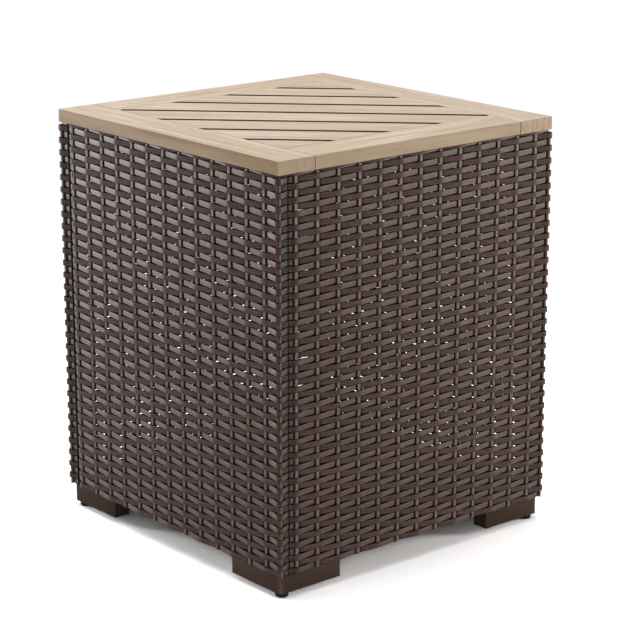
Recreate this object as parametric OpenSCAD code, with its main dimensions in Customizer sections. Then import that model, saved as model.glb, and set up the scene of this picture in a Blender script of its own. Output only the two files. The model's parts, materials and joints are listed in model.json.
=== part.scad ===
// Storage side table: four identical woven panels stand in a pinwheel on L-shaped feet, over a
// slatted base, under a hinged lid of boards and diagonal slats.
// Origin: centre of the footprint on the floor. X runs along the front, the front faces -Y, Z is up.

/* [Body] */
// Outside width and depth of the woven body, over the crests of the weave
body_w = 500; // [480:1:540]
// Height of a panel, from the feet to the tops of the stake loops
panel_h = 548.2; // [420:0.1:640]
// Side of the square tube of the panel frames
tube = 13; // [12:0.5:13.5]
// Wall of the square tube
tube_wall = 1.2; // [0.8:0.1:2]
// Open seam where the end of one panel meets the back of the next
seam = 1.5; // [1:0.1:3]

/* [Weave] */
// Rows of strip in a panel
rows = 60; // [40:2:64]
// Upright stakes in a panel, without its corner stake
stakes = 13; // [9:2:13]
// Distance from a corner of the body to the middle of the nearest stake
first_stake = 32.2; // [32:0.1:36]
// Width of a stake
stake_w = 6; // [4:0.5:8]
// Thickness of a stake
stake_t = 1.8; // [1.4:0.1:2]
// Thickness of a strip
strip_t = 1.6; // [1.2:0.1:1.8]
// Open gap between two rows
row_gap = 0.8; // [0.5:0.1:1.2]
// Height of the narrow rim strip over the top row
rim_h = 3.4; // [2.5:0.1:4]
// Length of each leg of the folded stake in the panel's corner
corner_leg = 4.6; // [4:0.1:6]
// Length of strip that is folded over the back of a post
tuck = 10; // [6:0.5:11]

/* [Feet] */
// Side of the square tube of the feet
foot_tube = 25; // [25:0.5:30]
// Wall of the foot tube
foot_wall = 1.5; // [1:0.1:2]
// Length of each leg of a foot along the panels
foot_leg = 105; // [100:1:130]
// Radius of the rounded outer corner of a foot
foot_round = 7; // [5:0.5:9]
// Diameter of a glide
glide_d = 18; // [14:0.5:22]
// Height of a glide under its foot
glide_h = 8; // [5:0.5:12]
// Diameter of the stem that holds a glide in its foot
glide_stem_d = 8; // [6:0.5:10]

/* [Base] */
// Number of slats in the base
base_count = 8; // [6:1:8]
// Thickness of a base slat
base_slat_t = 10; // [8:0.5:14]
// Open gap between two base slats
base_gap = 8; // [5:0.5:10]

/* [Lid] */
// Thickness of the lid's boards and slats
lid_t = 18.5; // [15:0.5:24]
// How far the lid's edge stays inside the weave's crests
lid_inset = 1.7; // [1.7:0.1:4]
// Width of the boards round the lid
board_w = 62; // [58:0.5:64]
// Height of the three-cornered slats at the ends of the diagonal
corner_slat_h = 56.5; // [50:0.5:60]
// Open gap between two diagonal slats
slat_gap = 6; // [5:0.5:8]
// Radius of the eased edges of boards and slats
ease_r = 0.6; // [0.5:0.1:2.5]
// Width of a batten under the lid
batten_w = 50; // [44:1:56]
// Thickness of a batten
batten_t = 14; // [11:0.5:18]

/* [Hinges] */
// Thickness of a hinge leaf
leaf_t = 1.5; // [1.2:0.1:1.6]
// Diameter of a hinge knuckle
knuckle_d = 6; // [5.8:0.1:6.2]
// Diameter of a hinge pin
pin_d = 3; // [2.5:0.1:3.5]
// Angle at which the hinge stops the lid
lid_open = 95; // [80:1:100]

/* [Fasteners] */
// Diameter of the bolts that join the panels
bolt_d = 6; // [5:0.5:6]
// Diameter of the screws of feet and base
screw_d = 5; // [4:0.5:5]
// Diameter of the wood screws of the lid
wood_screw_d = 4; // [3:0.5:5]
// Diameter of the screws of the hinges
hinge_screw_d = 3; // [2.5:0.5:3.5]

/* [Clearances] */
// Gap between touching pieces of one body
fit = 0.1; // [0.05:0.01:0.15]
// Gap under the closed lid and beside its moving pieces
lid_gap = 0.3; // [0.3:0.05:0.6]
// Radial clearance of the hinge pins
pin_fit = 0.05; // [0.02:0.01:0.08]
// Space between the battens or the base and the panels
drop_in = 3; // [2:0.1:6]
// Gap at the joints between the lid's boards
joint_gap = 0.4; // [0.2:0.1:0.8]

/* [Hidden] */

WICKER = "#4a3f3b";
METAL = "#453c36";
WOOD = "#cdb89c";
BLACK = "#1c1b1a";
STEEL = "#9a9a98";

eps = 0.01;
half_w = body_w / 2;
stake_pitch = (body_w - 2 * first_stake) / (stakes - 1);

// Depths are measured from the plane of the weave's crests, into the body.
// The zigzag of a strip clears a stake's edge, so its height follows the stake's width.
wave = (stake_t / 2 + fit + strip_t / 2) / (1 - stake_w / stake_pitch);
mid_depth = wave + strip_t / 2;
hug_depth = mid_depth + wave;
tube_depth = hug_depth + strip_t / 2 + fit;
tuck_depth = tube_depth + tube + fit + strip_t / 2;
panel_t = tuck_depth + strip_t / 2;
skin = strip_t + fit;

// A panel runs from its start face, behind the last panel's end, to the wrapped corner.
start_u = -half_w + panel_t + seam;
post_start = start_u + skin;
post_end = half_w - tube_depth;

foot_top = glide_h + foot_tube;
rail_bottom = foot_top + fit + stake_t + fit;
panel_top = foot_top + panel_h;
rail_top = panel_top - stake_t - fit;
rim_top = panel_top - fit;
weave_bottom = foot_top + row_gap;
weave_top = rim_top - rim_h;
row_pitch = (weave_top - weave_bottom) / rows;
strip_h = row_pitch - row_gap;
lid_z = panel_top + lid_gap;
lid_half = half_w - lid_inset;
inner_half = half_w - panel_t;
opening_half = lid_half - board_w;
batten_out = inner_half - drop_in;
batten_in = batten_out - batten_w;

base_half = inner_half - drop_in;
base_slat_w = (2 * base_half - (base_count - 1) * base_gap) / base_count;
base_top = foot_top + tube + base_slat_t;

function row_z(i) = weave_bottom + row_gap / 2 + row_pitch * i;
function stake_u(k) = (k - (stakes - 1) / 2) * stake_pitch;
// -1 where the strip of row i passes outside stake k, 1 where it passes behind it
function pass(i, k) = (i + k) % 2 == 0 ? -1 : 1;
function reversed(list) = [for (j = [len(list) - 1:-1:0]) list[j]];

bolt_rows = [6, rows / 2, rows - 7];
function bolt_z(i) = row_z(i) + strip_h / 2;
bolt_head = bolt_d * 0.5;
bolt_length = tube + seam + 2 * skin + tube * 0.8;
screw_head_d = screw_d * 1.7;
screw_head_h = screw_d * 0.6;
foot_screw_at = foot_leg * 0.78;
wood_head_d = wood_screw_d * 2;
wood_head_h = wood_screw_d * 0.6;
wood_bite = lid_t * 0.65;

// A hinge fits between two stake loops.
hinge_u = stake_u(stakes - 3) - stake_pitch / 2;
hinge_l = stake_pitch - stake_w - 2 * (lid_gap + 0.85);
leaf_w = tube_depth + tube * 0.85;
pin_out = knuckle_d / 2 + 0.6;
frame_leaf_z = rail_top + fit;
pin_z = (frame_leaf_z + leaf_t + lid_z) / 2;
knuckle_gap = 0.2;
knuckle_l = (hinge_l - 2 * knuckle_gap) / 3;
tail_l = 2.4;
tail_t = 2;
heel_gap = tail_t / 2 * cos(90 - lid_open) + (knuckle_d / 2 + tail_l) * sin(lid_open - 90) + 0.15;

// Places a child, drawn for the front panel with its depth along Y, in panel k.
module in_panel(k) {
    rotate([0, 0, 90 * k]) translate([0, -half_w, 0]) children();
}

// Mirrored copies at both ends of the X axis
module both_x() {
    children();
    mirror([1, 0, 0]) children();
}

// Hollow square tube along X from a to b, with its lowest corner at y and z
module tube_x(a, b, y, z, side, wall) {
    difference() {
        translate([a, y, z]) cube([b - a, side, side]);
        translate([a - eps, y + wall, z + wall])
            cube([b - a + 2 * eps, side - 2 * wall, side - 2 * wall]);
    }
}

// Upright hollow square tube with its lowest corner at x and y
module tube_z(x, y, z0, z1, side, wall) {
    difference() {
        translate([x, y, z0]) cube([side, side, z1 - z0]);
        translate([x + wall, y + wall, z0 - eps])
            cube([side - 2 * wall, side - 2 * wall, z1 - z0 + 2 * eps]);
    }
}

// Rails and posts of one panel
module panel_rail(k, z) {
    color(METAL) in_panel(k) difference() {
        tube_x(post_start + tube, post_end - tube, tube_depth, z, tube, tube_wall);
        if (k == 2 && z > rail_bottom) hinge_frame_holes();
        if (z == rail_bottom) rail_screw_holes();
    }
}

module start_post(k) {
    color(METAL) in_panel(k) difference() {
        tube_z(post_start, tube_depth, rail_bottom, rail_top, tube, tube_wall);
        for (i = bolt_rows) bolt_bore(i, bolt_d / 2 + fit);
    }
}

module end_post(k) {
    color(METAL) in_panel(k) difference() {
        tube_z(post_end - tube, tube_depth, rail_bottom, rail_top, tube, tube_wall);
        for (i = bolt_rows) end_bolt_bore(i, bolt_d / 2 + fit);
    }
}

// Bores for the corner bolts, through the start post along the panel
module bolt_bore(i, r) {
    translate([post_start - skin - seam, tube_depth + tube / 2, bolt_z(i)])
        rotate([0, 90, 0]) cylinder(h = tube + skin + seam + eps, r = r, $fn = 32);
}

// and into the end post across the panel
module end_bolt_bore(i, r) {
    translate([post_end - tube / 2, tube_depth + tube_wall + fit, bolt_z(i)])
        rotate([-90, 0, 0]) cylinder(h = tube + skin + seam, r = r, $fn = 32);
}

// Behind the start post a strip ends beside the tail of the first stake.
start_tuck_u = stake_u(0) - stake_w / 2 - 3 * fit;

// One side of a strip's path, half a thickness h away from its middle line
function strip_start(i, h) = concat(
    [[start_tuck_u, tuck_depth + h],
     [start_u + strip_t / 2 - h, tuck_depth + h],
     [start_u + strip_t / 2 - h, hug_depth - h]],
    pass(i, 0) < 0 ? [[stake_u(0) - stake_w / 2 - 2 * fit, mid_depth - wave + fit - h]] : []);

function strip_middle(i, h) = [for (k = [0:stakes - 1])
    [stake_u(k), mid_depth + pass(i, k) * wave - h]];

corner_out = mid_depth - stake_t / 2;
corner_edge = half_w - corner_out - corner_leg - 4 * fit;
corner_round = 2.6;
corner_turn = corner_out + corner_leg + 4 * fit;
return_flat = tube_depth + tube * 0.7;

// A strip that passes behind the last stake swings out round the corner stake,
function corner_over(h) = [
    [corner_edge, strip_t / 2 - h],
    [half_w - corner_round, strip_t / 2 - h],
    [half_w - strip_t / 2 + h, corner_round],
    [half_w - strip_t / 2 + h, corner_turn],
    [half_w - hug_depth + h, return_flat]];

// and one that passes outside the last stake lies on the post behind the corner stake.
function corner_under(h) = [
    [corner_edge, hug_depth - h],
    [half_w - hug_depth + h, hug_depth - h]];

function strip_end(i, h) = concat(
    [[stake_u(stakes - 1) + stake_w / 2 + 2 * fit, mid_depth - pass(i, stakes) * (wave - fit) - h]],
    pass(i, stakes) < 0 ? corner_over(h) : corner_under(h),
    [[half_w - hug_depth + h, tuck_depth + h],
     [post_end - tuck, tuck_depth + h]]);

function strip_side(i, h) = concat(strip_start(i, h), strip_middle(i, h), strip_end(i, h));

module strip(i) {
    translate([0, 0, row_z(i)]) linear_extrude(height = strip_h)
        polygon(concat(strip_side(i, strip_t / 2), reversed(strip_side(i, -strip_t / 2))));
}

// The rim strip is a narrow last row, notched to pass under the loops of the stakes it lies behind.
module rim_strip() {
    difference() {
        translate([0, 0, weave_top + row_gap / 2]) linear_extrude(height = rim_h - row_gap / 2)
            polygon(concat(strip_side(rows, strip_t / 2), reversed(strip_side(rows, -strip_t / 2))));
        for (k = [0:stakes - 1]) if (pass(rows, k) > 0)
            translate([stake_u(k) - stake_w / 2 - 2 * fit, 0, rail_top])
                cube([stake_w + 4 * fit, tube_depth, rim_h]);
    }
}

// A stake runs down outside both rails and loops round them to their back.
module stake(k) {
    face = mid_depth - stake_t / 2;
    back = tube_depth + tube + fit;
    low = rail_bottom - fit - stake_t;
    high = rail_top + fit + stake_t;
    tail = tube * 0.8;
    translate([stake_u(k) - stake_w / 2, 0, 0]) rotate([90, 0, 90]) linear_extrude(height = stake_w)
        polygon([[face, low], [back + stake_t, low], [back + stake_t, rail_bottom + tail],
                 [back, rail_bottom + tail], [back, low + stake_t], [face + stake_t, low + stake_t],
                 [face + stake_t, high - stake_t], [back, high - stake_t],
                 [back, rail_top - tail], [back + stake_t, rail_top - tail],
                 [back + stake_t, high], [face, high]]);
}

// The folded stake stands in the corner, over the end post.
module corner_stake() {
    o = corner_out;
    cut = 1.3;
    translate([0, 0, weave_bottom]) linear_extrude(height = rim_top - weave_bottom)
        polygon([[half_w - o - corner_leg, o], [half_w - o - cut, o], [half_w - o, o + cut],
                 [half_w - o, o + corner_leg], [half_w - o - stake_t, o + corner_leg],
                 [half_w - o - stake_t, o + stake_t], [half_w - o - corner_leg, o + stake_t]]);
}

module weave(k) {
    color(WICKER) in_panel(k) {
        for (i = [0:rows - 1])
            if (len(search(i, bolt_rows)) > 0)
                difference() {
                    strip(i);
                    bolt_bore(i, bolt_d / 2 + fit);
                    end_bolt_bore(i, bolt_d / 2 + fit);
                }
            else
                strip(i);
        difference() {
            rim_strip();
            if (k == 2) both_x() hinge_notch();
        }
        for (j = [0:stakes - 1]) stake(j);
        corner_stake();
    }
}

// Opening in the rim for a hinge leaf, between two stake loops
module hinge_notch() {
    notch = stake_pitch - stake_w;
    translate([hinge_u - notch / 2, -eps, rail_top]) cube([notch, tube_depth, rim_h]);
}

// Foot: two tubes joined into an L, closed at its ends, under two panels at corner k.
// Its outline stands a distance inset inside the foot's faces, with the outer corner rounded.
module foot_outline(inset) {
    o = half_w - tube_depth;
    polygon([[o - inset, -o + foot_round], [o - inset, -o + foot_leg - inset],
             [o - foot_tube + inset, -o + foot_leg - inset],
             [o - foot_tube + inset, -o + foot_tube - inset],
             [o - foot_leg + inset, -o + foot_tube - inset],
             [o - foot_leg + inset, -o + inset], [o - foot_round, -o + inset],
             [o - foot_round, -o + foot_round]]);
    translate([o - foot_round, -o + foot_round]) circle(r = foot_round - inset, $fn = 48);
}

module foot_blank(inset, z0, z1) {
    translate([0, 0, z0]) linear_extrude(height = z1 - z0) foot_outline(inset);
}

// Places of the screws of one foot: into the rail of each panel, and into the base bar
rail_line = half_w - tube_depth - tube / 2;
foot_edge = half_w - tube_depth;
bar_line = stake_u(stakes - 1) - stake_pitch / 2;
bar_end = inner_half - 2 * fit;
bar_screw_x = foot_edge - foot_tube + foot_wall + screw_head_d / 2 + 2 * fit;
rail_screw_places = [[foot_edge - foot_screw_at, -rail_line], [rail_line, -foot_edge + foot_screw_at]];

module foot(k) {
    color(METAL) rotate([0, 0, 90 * k]) difference() {
        foot_blank(0, glide_h, foot_top);
        foot_blank(foot_wall, glide_h + foot_wall, foot_top - foot_wall);
        for (p = foot_screw_places(k)) translate([p[0], p[1], 0]) {
            translate([0, 0, glide_h - eps])
                cylinder(h = foot_wall + 2 * eps, d = screw_head_d + 1, $fn = 32);
            translate([0, 0, foot_top - foot_wall - eps])
                cylinder(h = foot_wall + 2 * eps, r = screw_d / 2 + fit, $fn = 32);
        }
        glide_place() translate([0, 0, glide_h - eps])
            cylinder(h = foot_wall + 2 * eps, r = glide_stem_d / 2 + fit, $fn = 32);
    }
}

// The base bars lie on the legs along Y, which are a foot's second leg on every second corner.
function foot_screw_places(k) = concat(rail_screw_places,
    [k % 2 == 0 ? [bar_screw_x, -bar_line] : [bar_line, -bar_screw_x]]);

module glide_place() {
    translate([foot_edge - foot_tube / 2, -foot_edge + foot_tube / 2, 0]) children();
}

module glide(k) {
    rim = 1.2;
    color(BLACK) rotate([0, 0, 90 * k]) glide_place() rotate_extrude($fn = 48)
        polygon([[0, 0], [glide_d / 2 - rim, 0], [glide_d / 2, rim], [glide_d / 2, glide_h],
                 [glide_stem_d / 2, glide_h], [glide_stem_d / 2, glide_h + foot_wall * 4],
                 [0, glide_h + foot_wall * 4]]);
}

// Screw with a round head below its shank
module screw_up(d, head_d, head_h, length) {
    cylinder(h = head_h, d = head_d, $fn = 32);
    cylinder(h = head_h + length, d = d, $fn = 32);
}

module foot_screws() {
    seat = foot_top - foot_wall - fit;
    color(STEEL) for (k = [0:3]) rotate([0, 0, 90 * k]) for (p = foot_screw_places(k))
        translate([p[0], p[1], seat - screw_head_h])
            screw_up(screw_d, screw_head_d, screw_head_h, foot_wall + tube * 0.9);
}

// Bores for the foot screws in the lower wall of a bottom rail, drawn for the front panel
module rail_screw_holes() {
    for (x = [foot_edge - foot_screw_at, -foot_edge + foot_screw_at])
        translate([x, tube_depth + tube / 2, rail_bottom - eps])
            cylinder(h = tube_wall + 2 * eps, r = screw_d / 2 + fit, $fn = 32);
}

// Bolts join the start post of each panel to the end post of the panel before it.
module corner_bolts() {
    color(STEEL) for (k = [0:3]) in_panel(k) for (i = bolt_rows)
        translate([post_start + tube + fit, tube_depth + tube / 2, bolt_z(i)]) rotate([0, -90, 0]) {
            translate([0, 0, -bolt_head]) cylinder(h = bolt_head, d = bolt_d * 1.8, $fn = 6);
            cylinder(h = bolt_length, d = bolt_d, $fn = 32);
        }
}

// Base: two bars on the feet carry the slats
module base_bar(side) {
    color(METAL) difference() {
        tube_x(-bar_end, bar_end, side * bar_line - tube / 2, foot_top, tube, tube_wall);
        for (x = base_slat_centres()) translate([x, side * bar_line, foot_top + tube - tube_wall - eps])
            cylinder(h = tube_wall + 2 * eps, r = screw_d / 2 + fit, $fn = 32);
        both_x() translate([bar_screw_x, side * bar_line, foot_top - eps])
            cylinder(h = tube_wall + 2 * eps, r = screw_d / 2 + fit, $fn = 32);
    }
}

function base_slat_centres() = [for (j = [0:base_count - 1])
    (j - (base_count - 1) / 2) * (base_slat_w + base_gap)];

module base_slats() {
    color(METAL) for (x = base_slat_centres()) difference() {
        translate([x - base_slat_w / 2, -base_half, foot_top + tube])
            cube([base_slat_w, 2 * base_half, base_slat_t]);
        for (s = [-1, 1]) translate([x, s * bar_line, base_top]) {
            translate([0, 0, -base_slat_t - 1]) cylinder(h = base_slat_t + 2, r = screw_d / 2 + fit, $fn = 32);
            translate([0, 0, -screw_head_h - fit])
                cylinder(h = screw_head_h + 1, r = screw_head_d / 2 + fit, $fn = 32);
        }
    }
}

module base_screws() {
    color(STEEL) for (x = base_slat_centres()) for (s = [-1, 1])
        translate([x, s * bar_line, base_top]) rotate([180, 0, 0])
            screw_up(screw_d, screw_head_d, screw_head_h, base_slat_t + tube * 0.6);
}

// Profile of a board: a rectangle with eased corners, centred across and standing on its base line
module board_profile(w, t) {
    for (x = [-w / 2 + ease_r, w / 2 - ease_r]) for (y = [ease_r, t - ease_r])
        translate([x, y]) circle(r = ease_r, $fn = 24);
    translate([-w / 2 + ease_r, 0]) square([w - 2 * ease_r, t]);
    translate([-w / 2, ease_r]) square([w, t - 2 * ease_r]);
}

// Board along X, from a to b, with its middle at y
module board_x(a, b, y, w) {
    translate([a, y, lid_z]) rotate([90, 0, 90]) linear_extrude(height = b - a) board_profile(w, lid_t);
}

// Places of the wood screws along a batten into the board beside it
board_screw_line = (opening_half + batten_out) / 2;
board_screw_xs = [for (j = [-1.5, -0.5, 0.5, 1.5]) j * opening_half / 2];
slat_pitch = (opening_half * sqrt(2) - slat_gap / 2 - corner_slat_h) / 3;
slat_w = slat_pitch - slat_gap;
slat_screw_line = (opening_half + batten_in) / 2;
function slat_offset(n) = (n - 4.5) * slat_pitch;
// The ends of slat n over the battens: one beside the left or right board, one beside the other
function slat_ends(n) = let (c = slat_offset(n) * sqrt(2), s = slat_screw_line)
    c > 0 ? [[-s, c - s], [s - c, s]] : [[s, c + s], [-s - c, -s]];
// Where the four middle slats cross the centre batten
function slat_middle(n) = n >= 3 && n <= 6 ? [[-slat_offset(n) * sqrt(2), 0]] : [];
function slat_screws(n) = concat(slat_ends(n), slat_middle(n));
function board_screws(k) = [for (x = board_screw_xs) [x, -board_screw_line]];

module wood_pilot(p, top) {
    translate([p[0], p[1], lid_z - batten_t - 1])
        cylinder(h = batten_t + 1 + top, r = wood_screw_d / 2 + fit, $fn = 24);
}

// The front and back boards run the full width, and the side boards fit between them.
module lid_board(k) {
    long = k % 2 == 0;
    reach = long ? lid_half : lid_half - board_w - joint_gap;
    color(WOOD) rotate([0, 0, 90 * k]) difference() {
        board_x(-reach, reach, -lid_half + board_w / 2, board_w);
        for (p = board_screws(k)) wood_pilot(p, wood_bite + fit);
        if (k == 2) both_x() translate([0, -half_w, 0]) hinge_mortise();
    }
}

module lid_slat(n) {
    inner = opening_half - joint_gap;
    color(WOOD) difference() {
        intersection() {
            rotate([0, 0, 45]) board_x(-body_w, body_w, slat_offset(n), slat_w);
            translate([-inner, -inner, lid_z]) cube([2 * inner, 2 * inner, lid_t]);
        }
        for (p = slat_screws(n)) wood_pilot(p, wood_bite + fit);
    }
}

// Battens under the lid: a ring that also keeps the closed lid in place, and one across the middle
module batten(a, b, y, w, places) {
    color(WOOD) difference() {
        translate([a, y - w / 2, lid_z - batten_t]) cube([b - a, w, batten_t]);
        for (p = places) {
            wood_pilot(p, eps);
            translate([p[0], p[1], lid_z - batten_t - eps])
                cylinder(h = wood_head_h + fit, r = wood_head_d / 2 + fit, $fn = 24);
        }
    }
}

all_places = concat([for (n = [1:8]) each slat_screws(n)],
    [for (k = [0:3]) each [for (p = board_screws(k)) turned(p, k)]]);
function turned(p, k) = k == 0 ? p : turned([-p[1], p[0]], k - 1);
function inside(p, x0, x1, y0, y1) = p[0] > x0 && p[0] < x1 && p[1] > y0 && p[1] < y1;
function places_in(x0, x1, y0, y1) = [for (p = all_places) if (inside(p, x0, x1, y0, y1)) p];

module batten_long(s) {
    y = s * (batten_in + batten_w / 2);
    batten(-batten_out, batten_out, y, batten_w,
           places_in(-batten_out, batten_out, y - batten_w / 2, y + batten_w / 2));
}

module batten_short(s) {
    reach = batten_in - fit;
    x = s * (batten_in + batten_w / 2);
    color(WOOD) difference() {
        translate([x - batten_w / 2, -reach, lid_z - batten_t]) cube([batten_w, 2 * reach, batten_t]);
        for (p = places_in(x - batten_w / 2, x + batten_w / 2, -reach, reach)) {
            wood_pilot(p, eps);
            translate([p[0], p[1], lid_z - batten_t - eps])
                cylinder(h = wood_head_h + fit, r = wood_head_d / 2 + fit, $fn = 24);
        }
    }
}

module batten_centre() {
    reach = batten_in - fit;
    batten(-reach, reach, 0, batten_w, places_in(-reach, reach, -batten_w / 2, batten_w / 2));
}

module lid_screws() {
    color(STEEL) for (p = all_places) translate([p[0], p[1], lid_z - batten_t])
        screw_up(wood_screw_d, wood_head_d, wood_head_h, batten_t - wood_head_h + wood_bite);
}

// Hinges. Drawn in the back panel's frame: X along the pin, depth into the body along Y.
leaf_screw_x = hinge_l / 2 - 5;
leaf_screw_depth = tube_depth + tube / 2;
sunk_r = hinge_screw_d * 0.9;
sunk_h = leaf_t * 0.8;
lid_leaf_z = lid_z + fit;

// Flat-headed screw with its head's face at the origin, pointing up, and the bore for it in a leaf
module sunk_screw() {
    cylinder(h = sunk_h, r1 = sunk_r, r2 = hinge_screw_d / 2, $fn = 32);
    cylinder(h = wood_bite * 0.8, d = hinge_screw_d, $fn = 32);
}

module sunk_bore() {
    cylinder(h = sunk_h, r1 = sunk_r + fit, r2 = hinge_screw_d / 2 + fit, $fn = 32);
    translate([0, 0, -eps]) cylinder(h = leaf_t + 2 * eps, r = hinge_screw_d / 2 + fit, $fn = 32);
}

// Places a child at the screws of one hinge, at height z.
module at_leaf_screws(z) {
    for (s = [-1, 1]) translate([s * leaf_screw_x, leaf_screw_depth, z]) children();
}

module hinge_frame_screws() {
    color(STEEL) in_panel(2) both_x() translate([hinge_u, 0, 0])
        at_leaf_screws(frame_leaf_z + leaf_t) rotate([180, 0, 0]) sunk_screw();
}

module hinge_lid_screws() {
    color(STEEL) in_panel(2) both_x() translate([hinge_u, 0, 0]) at_leaf_screws(lid_leaf_z) sunk_screw();
}

module hinge_frame_holes() {
    both_x() translate([hinge_u, 0, 0]) at_leaf_screws(rail_top - tube_wall - eps)
        cylinder(h = tube_wall + 2 * eps, r = hinge_screw_d / 2 + fit, $fn = 32);
}

// A length of knuckle from x0 to x1
module knuckle(x0, x1, r) {
    translate([x0, -pin_out, pin_z]) rotate([0, 90, 0]) cylinder(h = x1 - x0, r = r, $fn = 32);
}

module pin_bore() {
    knuckle(-hinge_l, hinge_l, pin_d / 2 + pin_fit);
}

lid_knuckle = knuckle_l / 2;
knuckle_clear = -pin_out + knuckle_d / 2 + lid_gap;

module frame_leaf(side) {
    heel_out = -pin_out + heel_gap;
    heel_in = -lid_gap - fit;
    heel_z = pin_z - knuckle_d / 2 - tail_l;
    color(STEEL) in_panel(2) translate([side * hinge_u, 0, 0]) difference() {
        union() {
            translate([-hinge_l / 2, knuckle_clear, frame_leaf_z])
                cube([hinge_l, leaf_w - knuckle_clear, leaf_t]);
            for (s = [-1, 1]) {
                x0 = s < 0 ? -hinge_l / 2 : lid_knuckle + knuckle_gap;
                knuckle(x0, x0 + knuckle_l, knuckle_d / 2);
                translate([x0, -pin_out, frame_leaf_z]) cube([knuckle_l, pin_out + eps, leaf_t]);
                translate([x0, heel_out, heel_z]) cube([knuckle_l, heel_in - heel_out, pin_z - heel_z]);
            }
            translate([-hinge_l / 2, heel_out, heel_z])
                cube([hinge_l, heel_in - heel_out, tail_l - lid_gap]);
        }
        pin_bore();
        at_leaf_screws(frame_leaf_z + leaf_t) rotate([180, 0, 0]) sunk_bore();
    }
}

module hinge_mortise() {
    translate([hinge_u - hinge_l / 2 - lid_gap, lid_inset - 1, lid_z - eps])
        cube([hinge_l + 2 * lid_gap, leaf_w + fit - lid_inset + 1, leaf_t + 2 * fit + eps]);
    translate([hinge_u, 0, 0]) at_leaf_screws(lid_z)
        cylinder(h = wood_bite, r = hinge_screw_d / 2 + fit, $fn = 32);
}

module lid_leaf(side) {
    color(STEEL) in_panel(2) translate([side * hinge_u, 0, 0]) difference() {
        union() {
            translate([-hinge_l / 2, knuckle_clear, lid_leaf_z])
                cube([hinge_l, leaf_w - knuckle_clear, leaf_t]);
            knuckle(-lid_knuckle, lid_knuckle, knuckle_d / 2);
            translate([-lid_knuckle, -pin_out, lid_leaf_z]) cube([2 * lid_knuckle, pin_out + eps, leaf_t]);
            translate([-lid_knuckle, -pin_out - knuckle_d / 2 - tail_l, pin_z - tail_t / 2])
                cube([2 * lid_knuckle, knuckle_d / 2 + tail_l, tail_t]);
        }
        pin_bore();
        at_leaf_screws(lid_leaf_z) sunk_bore();
    }
}

module hinge_pins() {
    color(STEEL) in_panel(2) both_x() translate([hinge_u, 0, 0]) knuckle(-hinge_l / 2, hinge_l / 2, pin_d / 2);
}

panel_rail(0, rail_top - tube);  // front_top_rail
panel_rail(0, rail_bottom);  // front_bottom_rail
start_post(0);  // front_start_post
end_post(0);  // front_end_post
panel_rail(1, rail_top - tube);  // right_top_rail
panel_rail(1, rail_bottom);  // right_bottom_rail
start_post(1);  // right_start_post
end_post(1);  // right_end_post
panel_rail(2, rail_top - tube);  // back_top_rail
panel_rail(2, rail_bottom);  // back_bottom_rail
start_post(2);  // back_start_post
end_post(2);  // back_end_post
panel_rail(3, rail_top - tube);  // left_top_rail
panel_rail(3, rail_bottom);  // left_bottom_rail
start_post(3);  // left_start_post
end_post(3);  // left_end_post
weave(0);  // front_weave
weave(1);  // right_weave
weave(2);  // back_weave
weave(3);  // left_weave
foot(0);  // foot_front_right
foot(1);  // foot_back_right
foot(2);  // foot_back_left
foot(3);  // foot_front_left
glide(0);  // glide_front_right
glide(1);  // glide_back_right
glide(2);  // glide_back_left
glide(3);  // glide_front_left
foot_screws();
corner_bolts();
base_bar(-1);  // base_bar_front
base_bar(1);  // base_bar_back
base_slats();
base_screws();
frame_leaf(1);  // hinge_frame_leaf_left
frame_leaf(-1);  // hinge_frame_leaf_right
hinge_pins();
hinge_frame_screws();
lid_board(0);  // lid_board_front
lid_board(1);  // lid_board_right
lid_board(2);  // lid_board_back
lid_board(3);  // lid_board_left
lid_slat(1);  // lid_slat_1
lid_slat(2);  // lid_slat_2
lid_slat(3);  // lid_slat_3
lid_slat(4);  // lid_slat_4
lid_slat(5);  // lid_slat_5
lid_slat(6);  // lid_slat_6
lid_slat(7);  // lid_slat_7
lid_slat(8);  // lid_slat_8
batten_long(-1);  // batten_front
batten_long(1);  // batten_back
batten_short(-1);  // batten_left
batten_short(1);  // batten_right
batten_centre();
lid_screws();
lid_leaf(1);  // hinge_lid_leaf_left
lid_leaf(-1);  // hinge_lid_leaf_right
hinge_lid_screws();
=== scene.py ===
"""Looks of a storage side table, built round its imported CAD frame.

The CAD settles every size and place. This script swaps the plain woven panels, the feet and the base slats
for detailed pieces in the same places, gives every other CAD node a node material, and sets a plain studio
round them.
"""

import json
import logging
import math
import random
from collections.abc import Iterable, Sequence
from dataclasses import dataclass
from enum import Enum
from typing import ClassVar

import bmesh
import bpy
from bmesh.types import BMesh, BMVert
from bpy.types import Material, Mesh, Node, NodeSocket as Socket, Object, World
from mathutils import Color, Matrix, Vector

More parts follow.
